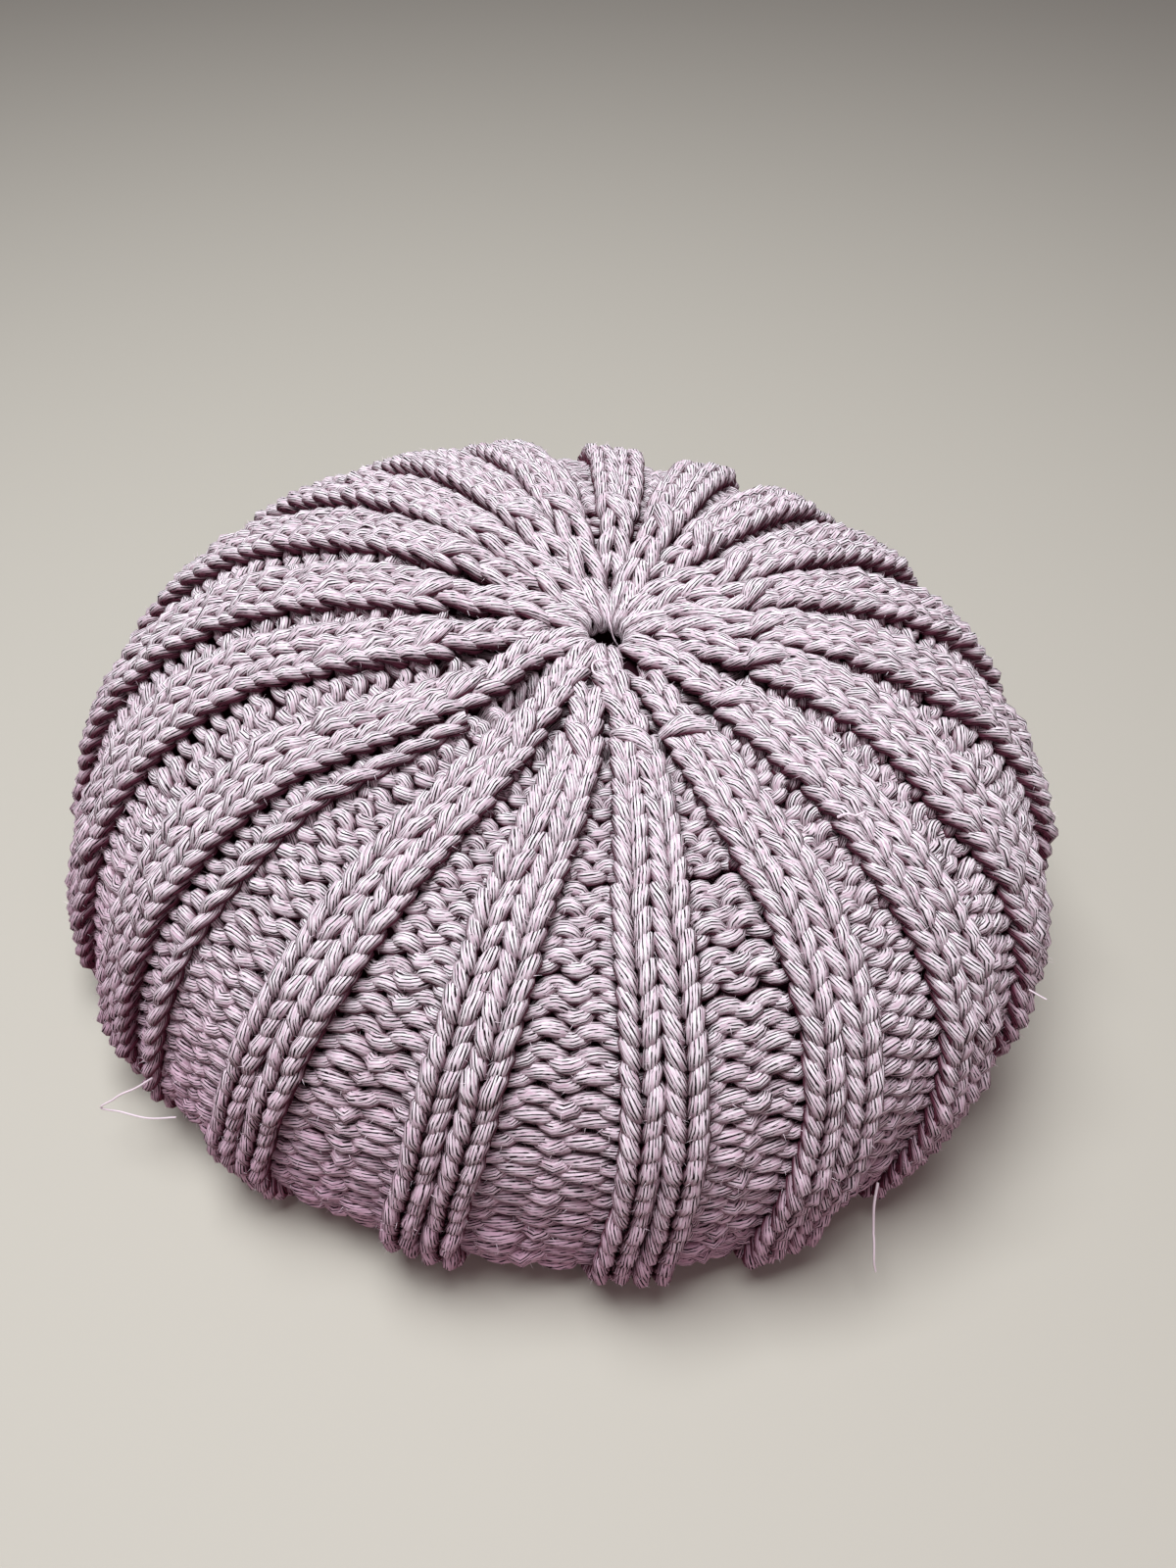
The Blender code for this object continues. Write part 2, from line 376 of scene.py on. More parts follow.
def coursePaths(rows, samples, firstDown, pitchDown):
    # one yarn path for each round of stitches, its last point on its first. The samples lie closer
    # together in the heads of the loops than along their legs.
    t = np.linspace(-np.pi, np.pi, samples, endpoint=False) + np.pi / samples
    t = t - gauge["headCrowding"] * np.sin(2 * t)
    count = len(waleKinds)
    sign = np.array([1.0 if kind == "knit" else -1.0 for kind in waleKinds])
    depthOf = {"knit": gauge["knitDepth"], "purl": gauge["purlDepth"]}
    middleDepth = np.array([depthOf[kind] for kind in waleKinds])
    own = gauge["ownShare"]
    blend = np.clip((np.abs(t) - own * np.pi) / ((1 - own) * np.pi), 0, 1)
    blend = 0.5 * blend * blend * (3 - 2 * blend)
    waleIndex = np.arange(count)[:, None]
    neighbour = (waleIndex + np.where(t > 0, 1, -1)[None]) % count
    signs = sign[:, None] * (1 - blend) + sign[neighbour] * blend
    depths = middleDepth[:, None] * (1 - blend) + middleDepth[neighbour] * blend
    loopHeight = np.array([gauge["loopHeight"][kind] for kind in waleKinds])
    loopHeight = loopHeight[:, None] * (1 - blend) + loopHeight[neighbour] * blend
    leans = np.array([gauge["lean"][kind] for kind in waleKinds])
    arch = np.array([gauge["arch"][kind] for kind in waleKinds])[:, None]
    swings = np.array([gauge["swing"][kind] for kind in waleKinds])[:, None]
    radii = np.array([yarn["radius"][kind] for kind in waleKinds])[:, None]
    isKnit = sign[:, None] > 0
    unevenLoop, unevenSwing, unevenRadius = gauge["unevenParts"]
    paths = []
    for row in range(rows):
        wobble = rng.normal(0, gauge["unevenSize"], (count, 1))
        shift = rng.normal(0, gauge["unevenHeight"], (count // 2, 1)).repeat(2, 0)
        shift = shift * np.cos(t / 2)[None] ** 2
        sidestep = rng.normal(0, gauge["unevenSide"], (count, 1)) * np.sin(t)[None] ** 2
        loop = (np.cos(t)[None] + arch * np.cos(3 * t)[None]) / (1 + arch)
        down = firstDown + pitchDown * (row + shift - (loopHeight + unevenLoop * wobble) * loop)
        flat = down.ravel()
        start = [np.interp(each, downGrid, edge) for each, edge in zip(down, waleStarts)]
        end = [np.interp(each, downGrid, edge) for each, edge in zip(down, waleEnds)]
        start = np.array(start)
        end = np.array(end)
        share = np.clip((down - gauge["mergeDown"]) / gauge["leanSpan"], 0, 1)
        lean = leans[:, :1] + (leans[:, 1:] - leans[:, :1]) * share
        across = 0.5 + (t + lean * np.sin(2 * t)) / (2 * np.pi) + sidestep
        azimuth = start + (end - start) * across
        waleWidth = (start - end) * lookUp(surfaceReach, azimuth, down)
        swing = swings * (1 + unevenSwing * wobble) * np.cos(2 * t)[None]
        fade = relief(flat).reshape(down.shape)
        level = gauge["knitDepth"] + (depths - gauge["knitDepth"]) * fade
        tuck = np.where(t < 0, np.sin(2 * t), 0)[None] * (sign[:, None] < 0)
        depth = level + signs * swing + gauge["tuck"] * tuck
        radius = radii * (1 - yarn["swell"] * signs * np.cos(2 * t)[None] + unevenRadius * wobble)
        narrow = np.where(isKnit, np.interp(waleWidth, *yarn["byWidth"]["knit"]),
                          np.interp(waleWidth, *yarn["byWidth"]["purl"]))
        radius = radius * narrow * np.where(isKnit, np.interp(down, *yarn["towardsFoot"]), 1)
        paths.append(closed(azimuth.ravel(), flat, depth.ravel(), radius.ravel()))
    return paths


# the yarn: loosely twisted cotton, plumper in the legs of a knit stitch and in the arc of a purl one
yarn = {
    "radius": {"knit": 3.1 * mm, "purl": 3.05 * mm},
    "swell": 0.2,
    # what is left of the radius at these widths of a wale, and at these shares of the way down a rib
    "byWidth": {"knit": ((7 * mm, 16 * mm), (0.86, 1.02)), "purl": ((6 * mm, 15 * mm), (0.78, 1))},
    "towardsFoot": ((0.6, 1), (1, 0.88)),
    "sides": 7,
    "plainSides": 5,
    "samples": 18,
    "plainSamples": 10,
    "skyShare": 0.7,  # how much the way that daylight reaches the yarn turns from outwards to upwards
}


def yarnTree(name):
    # Geometry Nodes: polylines become tubes that keep their place round and along the yarn
    tree = bpy.data.node_groups.new(name, "GeometryNodeTree")
    face = tree.interface
    face.new_socket("Strands", in_out="INPUT", socket_type="NodeSocketGeometry")
    face.new_socket("Sides", in_out="INPUT", socket_type="NodeSocketInt")
    face.new_socket("Material", in_out="INPUT", socket_type="NodeSocketMaterial")
    face.new_socket("Yarn", in_out="OUTPUT", socket_type="NodeSocketGeometry")
    source = addNode(tree, "NodeGroupInput")
    curve = addNode(tree, "GeometryNodeMeshToCurve", {"Mesh": (source, "Strands")})
    radius = addNode(tree, "GeometryNodeInputNamedAttribute", values={"Name": "yarnRadius"})
    circle = addNode(tree, "GeometryNodeCurvePrimitiveCircle", {"Resolution": (source, "Sides")},
                     {"Radius": 1.0})
    place = addNode(tree, "GeometryNodeInputPosition")
    profile = addNode(tree, "GeometryNodeStoreNamedAttribute",
                      {"Geometry": (circle, "Curve"), "Value": (place, "Position")},
                      {"Name": "yarnSide"}, data_type="FLOAT_VECTOR", domain="POINT")
    tube = addNode(tree, "GeometryNodeCurveToMesh",
                   {"Curve": (curve, "Curve"), "Profile Curve": (profile, "Geometry"),
                    "Scale": (radius, "Attribute")}, {"Fill Caps": True})
    smooth = addNode(tree, "GeometryNodeSetShadeSmooth", {"Geometry": (tube, "Mesh")})
    real = addNode(tree, "GeometryNodeRealizeInstances", {"Geometry": (smooth, "Geometry")})
    dressed = addNode(tree, "GeometryNodeSetMaterial",
                      {"Geometry": (real, "Geometry"), "Material": (source, "Material")})
    addNode(tree, "NodeGroupOutput", {"Yarn": (dressed, "Geometry")})
    return tree


def polylineMesh(name, paths):
    # one mesh of loose edges that holds every path, with the yarn's sizes as attributes
    points = []
    outs = []
    depths = []
    radii = []
    alongs = []
    links = []
    first = 0
    for azimuth, down, depth, radius in paths:
        place, outwards = onBody(azimuth, down, depth)
        step = np.linalg.norm(np.diff(place, axis=0), axis=1)
        points.append(place)
        outs.append(outwards)
        depths.append(depth)
        radii.append(radius)
        alongs.append(np.concatenate([[0], np.cumsum(step)]) + rng.uniform(0, 1))
        order = np.arange(first, first + len(place))
        links.append(np.stack([order[:-1], order[1:]], 1))
        first += len(place)
    data = bpy.data.meshes.new(name)
    points = np.concatenate(points)
    data.from_pydata(points.tolist(), np.concatenate(links).tolist(), [])
    # the way the daylight comes from, turned from outwards towards up; the yarn material paints shade on
    # faces turned away from it
    daylight = np.concatenate(outs) + (0, 0, yarn["skyShare"])
    daylight = daylight / np.linalg.norm(daylight, axis=1, keepdims=True)
    for label, values in (("yarnRadius", radii), ("yarnAlong", alongs), ("yarnDepth", depths)):
        attribute = data.attributes.new(label, "FLOAT", "POINT")
        attribute.data.foreach_set("value", np.concatenate(values).astype(np.float32))
    attribute = data.attributes.new("yarnDaylight", "FLOAT_VECTOR", "POINT")
    attribute.data.foreach_set("vector", daylight.astype(np.float32).ravel())
    return data


def runTree(data, tree, values):
    # the plain mesh that a node tree makes of this one
    holder = bpy.data.objects.new(data.name, data)
    bpy.context.scene.collection.objects.link(holder)
    modifier = holder.modifiers.new("tree", "NODES")
    modifier.node_group = tree
    identifiers = {item.name: item.identifier for item in tree.interface.items_tree
                   if item.item_type == "SOCKET" and item.in_out == "INPUT"}
    for label, value in values.items():
        modifier[identifiers[label]] = value
    bpy.context.view_layer.update()
    graph = bpy.context.evaluated_depsgraph_get()
    made = bpy.data.meshes.new_from_object(holder.evaluated_get(graph))
    bpy.data.objects.remove(holder, do_unlink=True)
    return made


def handOver(name, data):
    data.name = name
    piece = bpy.data.objects.new(name, data)
    bpy.context.scene.collection.objects.link(piece)
    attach(piece, "root")
    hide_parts("knit_cover")
    triangles = sum(len(polygon.vertices) - 2 for polygon in data.polygons)
    print(name, triangles, "triangles")
    return piece


def spin(name, paths, tree, sides, material):
    data = runTree(polylineMesh(name, paths), tree, {"Sides": sides, "Material": material})
    return handOver(name, data)


# Brushed cotton yarn, loosely plied and dyed a dusty pink: matt and soft, with a random mottle of paler
# fibres, thin dark lines of painted shade between its strands, and maroon painted shade on its sides,
# underneath and where it lies deep.
cottonLook = {
    "pale": "#F1E9EE",
    "mid": "#CAAEBD",
    "low": "#C493AD",  # towards the floor, where the pouf looks pinker
    "lowFrom": 140 * mm,  # heights above the floor
    "lowTo": 30 * mm,
    "lowShare": 0.8,
    # painted shade in the grooves between the strands
    "grooveShade": "#17040C",
    # painted shade: the dark maroon mixed into the yarn's sides, undersides and deep-lying stitches
    "deep": "#5A1430",
    "roughness": 0.9,
    "specular": 0.08,
    "bump": 0.9,
    "strands": 15,
    "wander": 9.0,
    "twistLength": 75 * mm,
    "strandDepth": 0.7 * mm,
    "streak": 17 * mm,  # strands wander over two thirds of this, dashes are a fifth of it
    # depths below the surface over which that painted shade grows
    "shadeFromDepth": 11 * mm,
    "shadeToDepth": 20 * mm,
}


def cottonYarn():
    material = bpy.data.materials.new("brushedCottonYarn")
    material.use_nodes = True
    tree = material.node_tree
    shader = tree.nodes["Principled BSDF"]
    side = addNode(tree, "ShaderNodeAttribute", attribute_name="yarnSide")
    along = addNode(tree, "ShaderNodeAttribute", attribute_name="yarnAlong")
    depth = addNode(tree, "ShaderNodeAttribute", attribute_name="yarnDepth")
    daylight = addNode(tree, "ShaderNodeAttribute", attribute_name="yarnDaylight")
    # where a point lies round the yarn once its twist is undone
    split = addNode(tree, "ShaderNodeSeparateXYZ", {"Vector": (side, "Vector")})
    angle = addNode(tree, "ShaderNodeMath", {0: (split, "Y"), 1: (split, "X")}, operation="ARCTAN2")
    twist = addNode(tree, "ShaderNodeMath", {0: (along, "Fac"), 2: (angle, "Value")},
                    {1: 2 * math.pi / cottonLook["twistLength"]}, operation="MULTIPLY_ADD")
    cosine = addNode(tree, "ShaderNodeMath", {0: (twist, "Value")}, operation="COSINE")
    sine = addNode(tree, "ShaderNodeMath", {0: (twist, "Value")}, operation="SINE")
    length = addNode(tree, "ShaderNodeMath", {0: (along, "Fac")}, {1: 1 / cottonLook["streak"]},
                     operation="MULTIPLY")
    ply = addNode(tree, "ShaderNodeCombineXYZ",
                  {"X": (cosine, "Value"), "Y": (sine, "Value"), "Z": (length, "Value")})
    # painted shade: dark lines in the grooves between the strands, which wander and break off
    wander = addNode(tree, "ShaderNodeTexNoise", {"Vector": (ply, "Vector")},
                     {"Scale": 1.5, "Detail": 1.0})
    wandering = addNode(tree, "ShaderNodeMath", {0: (wander, "Fac")}, {1: cottonLook["wander"]},
                        operation="MULTIPLY")
    phase = addNode(tree, "ShaderNodeMath", {0: (twist, "Value"), 2: (wandering, "Value")},
                    {1: float(cottonLook["strands"])}, operation="MULTIPLY_ADD")
    wave = addNode(tree, "ShaderNodeMath", {0: (phase, "Value")}, operation="COSINE")
    groove = addNode(tree, "ShaderNodeMapRange", {"Value": (wave, "Value")},
                     {"From Min": -0.8, "From Max": -0.05, "To Min": 1.0, "To Max": 0.0})
    dash = addNode(tree, "ShaderNodeTexNoise", {"Vector": (ply, "Vector")},
                   {"Scale": 5.5, "Detail": 1.0})
    dashes = addNode(tree, "ShaderNodeMapRange", {"Value": (dash, "Fac")},
                     {"From Min": 0.44, "From Max": 0.51, "To Min": 0.1, "To Max": 1.0})
    shadedGrooves = addNode(tree, "ShaderNodeMath", {0: (groove, "Result"), 1: (dashes, "Result")},
                   operation="MULTIPLY")
    fibre = addNode(tree, "ShaderNodeTexNoise", {"Vector": (ply, "Vector")},
                    {"Scale": 5.5, "Detail": 3.0})
    # painted shade: the sides and the underneath of a yarn, turned away from the daylight, and yarns that
    # lie deep are mixed towards a dark maroon
    surfaceNormal = addNode(tree, "ShaderNodeNewGeometry")
    facing = addNode(tree, "ShaderNodeVectorMath",
                     {0: (daylight, "Vector"), 1: (surfaceNormal, "Normal")}, operation="DOT_PRODUCT")
    under = addNode(tree, "ShaderNodeMapRange", {"Value": (facing, "Value")},
                    {"From Min": 0.9, "From Max": 0.1, "To Min": 0.0, "To Max": 0.95})
    sunkShade = addNode(tree, "ShaderNodeMapRange", {"Value": (depth, "Fac")},
                   {"From Min": cottonLook["shadeFromDepth"], "From Max": cottonLook["shadeToDepth"],
                    "To Min": 0.0, "To Max": 0.8})
    paintedCreaseShade = addNode(tree, "ShaderNodeMath", {0: (under, "Result"), 1: (sunkShade, "Result")},
                     operation="MAXIMUM")
    tint = addNode(tree, "ShaderNodeMapRange", {"Value": (fibre, "Fac")},
                   {"From Min": 0.33, "From Max": 0.62, "To Min": 0.0, "To Max": 1.0})
    body = addNode(tree, "ShaderNodeMix", {0: (tint, "Result")},
                   {6: hexColour(cottonLook["mid"]), 7: hexColour(cottonLook["pale"])}, data_type="RGBA")
    # the colour turns pinker towards the floor, by height
    place = addNode(tree, "ShaderNodeTexCoord")
    height = addNode(tree, "ShaderNodeSeparateXYZ", {"Vector": (place, "Object")})
    towardsFloor = addNode(tree, "ShaderNodeMapRange", {"Value": (height, "Z")},
                      {"From Min": cottonLook["lowFrom"], "From Max": cottonLook["lowTo"],
                       "To Min": 0.0, "To Max": cottonLook["lowShare"]})
    floorTinted = addNode(tree, "ShaderNodeMix", {0: (towardsFloor, "Result"), 6: (body, 2)},
                   {7: hexColour(cottonLook["low"])}, data_type="RGBA")
    # painted shade: the maroon mixed in on the yarn's sides, undersides and deep parts
    shaded = addNode(tree, "ShaderNodeMix", {0: (paintedCreaseShade, "Value"), 6: (floorTinted, 2)},
                     {7: hexColour(cottonLook["deep"])}, data_type="RGBA")
    # painted shade in the grooves, laid over everything else; the same grooves also sink the bump
    colour = addNode(tree, "ShaderNodeMix", {0: (shadedGrooves, "Value"), 6: (shaded, 2)},
                     {7: hexColour(cottonLook["grooveShade"])}, data_type="RGBA")
    relieved = addNode(tree, "ShaderNodeMath", {0: (shadedGrooves, "Value"), 2: (fibre, "Fac")}, {1: -2.5},
                       operation="MULTIPLY_ADD")
    bump = addNode(tree, "ShaderNodeBump", {"Height": (relieved, "Value")},
                   {"Strength": cottonLook["bump"], "Distance": cottonLook["strandDepth"] / 2.5})
    tree.links.new(colour.outputs[2], shader.inputs["Base Color"])
    tree.links.new(bump.outputs["Normal"], shader.inputs["Normal"])
    shader.inputs["Roughness"].default_value = cottonLook["roughness"]
    shader.inputs["Specular IOR Level"].default_value = cottonLook["specular"]
    return material


cotton = cottonYarn()
tree = yarnTree("yarnTubes")
rowPitch = (1 - gauge["mergeDown"]) / gauge["rows"]
bandRows = 8  # rounds in one piece, which keeps each piece under 200,000 triangles
courses = coursePaths(gauge["rows"], yarn["samples"], gauge["mergeDown"] + rowPitch * 0.5, rowPitch)
stitched = []
for band, first in enumerate(range(0, gauge["rows"], bandRows)):
    rounds = courses[first:first + bandRows]
    stitched.append(spin("knit_rounds_%d" % (band + 1), rounds, tree, yarn["sides"], cotton))
underPitch = 0.9 / gauge["underRows"]
underCourses = coursePaths(gauge["underRows"], yarn["plainSamples"], 1 + rowPitch, underPitch)
spin("underside_rounds", underCourses, tree, yarn["plainSides"], cotton)
print("rounds knitted")

# the seam: half stitches that lie on one another like two strands of a rope, down their own purl wale
seamRope = {
    "from": 0.215,  # share of the way from the crown to the floor
    "to": 1.02,
    "turnRows": 2.6,  # rounds for one turn of a strand
    "side": 1.6 * mm,
    "depth": 5.8 * mm,
    "swing": 2.3 * mm,
    "radius": 2.7 * mm,
    "thin": (0.62, 0.02, 0.45),  # where it has been pulled thin, over what length and by how much
    "samplesPerTurn": 14,
}


def seamPaths():
    turns = (seamRope["to"] - seamRope["from"]) / (seamRope["turnRows"] * rowPitch)
    down = np.linspace(seamRope["from"], seamRope["to"], int(turns * seamRope["samplesPerTurn"]))
    middle = np.interp(down, downGrid, middles[seamRib])
    reach = lookUp(surfaceReach, middle, down)
    place, spread, loss = seamRope["thin"]
    thin = 1 - loss * np.exp(-((down - place) / spread) ** 2)
    drift = np.cumsum(rng.normal(0, 0.06, len(down)))
    paths = []
    for phase in (0, np.pi):
        angle = 2 * np.pi * turns * np.linspace(0, 1, len(down)) + phase + drift
        azimuth = middle - seamRope["side"] * np.sin(angle) / reach
        depth = seamRope["depth"] - seamRope["swing"] * np.cos(angle)
        radius = seamRope["radius"] * thin * (1 + 0.12 * np.cos(angle))
        paths.append((azimuth, down, depth, radius))
    return paths


stitched.append(spin("seam_rope", seamPaths(), tree, yarn["sides"], cotton))
print("seam laid")

# near the hole each rib is one wale of long stitches, and deep rungs of yarn lie between them
crown = {
    "stitchPitch": 13.5 * mm,
    "longPitch": 19 * mm,
    "longRibs": "GIKQ",  # ribs whose stitches near the hole are longer still
    "petalMiddle": 17.5 * mm,  # the stitch that dips into the hole: its middle, and how far it reaches
    "petalReach": (19 * mm, 15 * mm),  # from there into the hole and away from it
    "reaches": (7 * mm, 11 * mm, 16 * mm, 22 * mm, 32 * mm),  # distances from the middle of the hole
    "wale": (4.7 * mm, 8.2 * mm, 11.6 * mm, 13.4 * mm, 13.5 * mm),
    "yarnRadius": (1.9 * mm, 2.8 * mm, 3.4 * mm, 3.6 * mm, 3.5 * mm),
    "lean": 1.25,
    "legEnd": 0.86,  # where a stitch's legs end, as a share of half a wale
    "loopHeight": 0.85,
    "frontLift": 1.8 * mm,  # how much higher the petals in front of the hole lie than the others
    "samples": 20,
    "buriedDepth": 5 * mm,
    "rungsFrom": 0.05,
    "rungs": 6,
    "rungPoints": 10,  # from one rib to the next
    "rungDepth": (9.5 * mm, 14.5 * mm),
    "rungSwing": 2.6 * mm,
    "rungRadius": 2.6 * mm,
}


def ribAt(index, down):
    middle = np.interp(down, downGrid, middles[index])
    return middle, lookUp(surfaceReach, middle, down)


def ribLength(index):
    # from the crown to the floor, along the meridian on which the rib lies well down the side
    sideRow = 300
    return np.interp(np.mod(middles[index][sideRow], 2 * np.pi), azimuthGrid, meridianLengths)


def crownWale(index):
    name, _, _, _, _, stop = ribs[index]
    length = ribLength(index)
    pitch = crown["longPitch"] if name in crown["longRibs"] else crown["stitchPitch"]
    merge = gauge["mergeDown"] * length
    inner = stop or crown["petalMiddle"]
    count = max(round((merge - inner) / pitch + 0.6), 1)
    pitch = (merge - inner) / (count - 0.6)
    paths = []
    t = np.linspace(-crown["legEnd"] * np.pi, crown["legEnd"] * np.pi, crown["samples"])
    for stitch in range(count):
        centre = merge - (stitch + 0.4) * pitch
        half = crown["loopHeight"] * pitch * (1 + rng.normal(0, 0.05))
        if stitch == count - 1 and not stop:
            half = np.where(np.cos(t) > 0, *crown["petalReach"])
        down = (centre - half * np.cos(t)) / length
        middle, reach = ribAt(index, down)
        width = np.interp(reach, crown["reaches"], crown["wale"])
        side = width * (t + crown["lean"] * np.sin(2 * t)) / (2 * np.pi)
        radius = np.interp(reach, crown["reaches"], crown["yarnRadius"])
        openness = np.clip((reach - 7 * mm) / (9 * mm), 0, 1)
        depth = (1.1 + 0.8 * openness) * radius + (0.2 + 0.65 * openness) * radius * np.cos(2 * t)
        front = np.clip(-np.sin(middle), 0, 1) * np.exp(-((reach - 10 * mm) / (6 * mm)) ** 2)
        depth = depth - crown["frontLift"] * front
        if stop:
            depth = depth + crown["buriedDepth"] * (stitch / count) ** 1.5
        radius = radius * (1 - 0.1 * np.cos(2 * t))
        paths.append((middle + side / np.maximum(reach, 4 * mm), down, depth, radius))
    return paths


def crownRungs():
    paths = []
    rows = crown["rungs"]
    steps = np.arange(crown["rungPoints"]) / crown["rungPoints"]
    pitch = (gauge["mergeDown"] - crown["rungsFrom"]) / rows
    for row in range(rows):
        centre = gauge["mergeDown"] - (row + 0.5) * pitch
        down = np.full(len(ribs) * len(steps), centre)
        azimuths = []
        for index in range(len(ribs)):
            start, _ = ribAt(index, np.array([centre]))
            end, _ = ribAt((index + 1) % len(ribs), np.array([centre]))
            end = end - 2 * np.pi * (index + 1 == len(ribs))
            azimuths.append(start + (end - start) * steps)
        azimuth = np.concatenate(azimuths)
        beat = np.cos(2 * np.pi * np.tile(steps, len(ribs)))
        down = down + 0.35 * pitch * beat + rng.normal(0, 0.03 * pitch, len(down))
        depth = np.interp(centre, (0.05, 0.11), crown["rungDepth"]) + crown["rungSwing"] * beat
        paths.append(closed(azimuth, down, depth, np.full(len(down), crown["rungRadius"])))
    return paths


# where two wales become one, a slanting stitch lies over both, its outer end to the right
leaf = {
    "length": 22 * mm,
    "angle": 30,  # between the leaf and its rib, in degrees
    "ownAngles": {"A": 50, "C": 20, "E": 12, "S": 40, "T": 72},
    "radius": 3.3 * mm,
    "spread": 1.7 * mm,  # from the leaf's middle to each of its two strands
    "depth": (5 * mm, 0.8 * mm),
    "samples": 12,
}


def mergeLeaf(index):
    # two strands side by side, which make one broad flat band
    length = ribLength(index)
    share = np.linspace(-0.5, 0.5, leaf["samples"])
    size = leaf["length"] * (1 + rng.normal(0, 0.06))
    angle = math.radians(leaf["ownAngles"].get(ribs[index][0], leaf["angle"]) + rng.normal(0, 4))
    bow = np.cos(np.pi * share)
    depth = leaf["depth"][0] + (leaf["depth"][1] - leaf["depth"][0]) * bow
    radius = leaf["radius"] * (0.72 + 0.28 * bow)
    paths = []
    for spread in (-leaf["spread"], leaf["spread"]):
        side = share * size * math.sin(angle) + spread * bow * math.cos(angle)
        fall = 2 * mm + share * size * math.cos(angle) - (spread + 3 * mm) * bow * math.sin(angle)
        down = gauge["mergeDown"] + fall / length
        middle, reach = ribAt(index, down)
        paths.append((middle + side / reach, down, depth, radius))
    return paths


crownPaths = crownRungs()
for index in range(len(ribs)):
    if index != seamRib:
        crownPaths += crownWale(index)
        crownPaths += mergeLeaf(index)
stitched.append(spin("crown_stitches", crownPaths, tree, yarn["sides"], cotton))
print("crown gathered")

# trim: a loop and a fine end at the hole, and short ends that stick out of the knitting
looseThreads = {
    "pointsPerLeg": 5,
    "lines": (  # radius in mm, then points: degrees, share of the way down, mm above the surface
        (0.5, ((-87, 0.058, 0), (-91.5, 0.065, 2), (-98, 0.068, 3), (-102, 0.078, 3.5), (-100, 0.09, 3),
               (-95.5, 0.096, 2.5), (-91, 0.096, 2), (-87.5, 0.1025, 1.5), (-85.5, 0.1125, -2))),
        (0.4, ((-275, 0.025, 0), (-282, 0.015, 1.5), (-298, 0.01, 2.5), (-318, 0.0025, 2.5),
               (-335, -0.0025, 2), (-342, -0.012, 0))),
        (0.45, ((-138, 0.83, -3), (-139, 0.85, 3), (-140, 0.86, 10), (-141, 0.87, 17),
                (-139.5, 0.875, 12), (-136, 0.87, 5), (-133, 0.86, -3))),
        (0.55, ((-52, 0.8, -3), (-52.5, 0.82, 2), (-52.5, 0.85, 9), (-53, 0.87, 16), (-53, 0.88, 20))),
        (0.55, ((-48, 0.36, -1), (-47, 0.365, 2), (-46.2, 0.371, 2), (-45, 0.374, 3), (-44, 0.374, 0))),
        (0.35, ((-33, 0.672, -2), (-33, 0.675, 2), (-33, 0.677, 5.5))),
    ),
}


def threadPaths():
    # smooth lines through the points
    paths = []
    for radius, points in looseThreads["lines"]:
        spots = np.array(points, float)
        spots = np.concatenate([2 * spots[:1] - spots[1:2], spots, 2 * spots[-1:] - spots[-2:-1]])
        line = []
        for before, start, end, after in zip(spots, spots[1:], spots[2:], spots[3:]):
            for share in np.arange(looseThreads["pointsPerLeg"]) / looseThreads["pointsPerLeg"]:
                bend = (2 * before - 5 * start + 4 * end - after) * share ** 2
                twist = (3 * start - before - 3 * end + after) * share ** 3
                line.append(start + 0.5 * ((end - before) * share + bend + twist))
        line = np.array(line + [spots[-2]])
        thin = radius * mm * np.linspace(1.1, 0.8, len(line))
        paths.append((np.radians(line[:, 0]), line[:, 1], -line[:, 2] * mm, thin))
    return paths


# cotton fuzz: short fibres that stand out of the stitches, seen best along the pouf's outline
fuzz = {
    "density": 26000.0,  # fibres on a square metre of yarn that faces outwards
    "length": (0.8 * mm, 3.4 * mm),
    "thickness": 0.042,  # radius at its foot as a share of the length
    "tilt": 0.9,
    "seed": 7,
    "colour": "#E7D3DE",
}


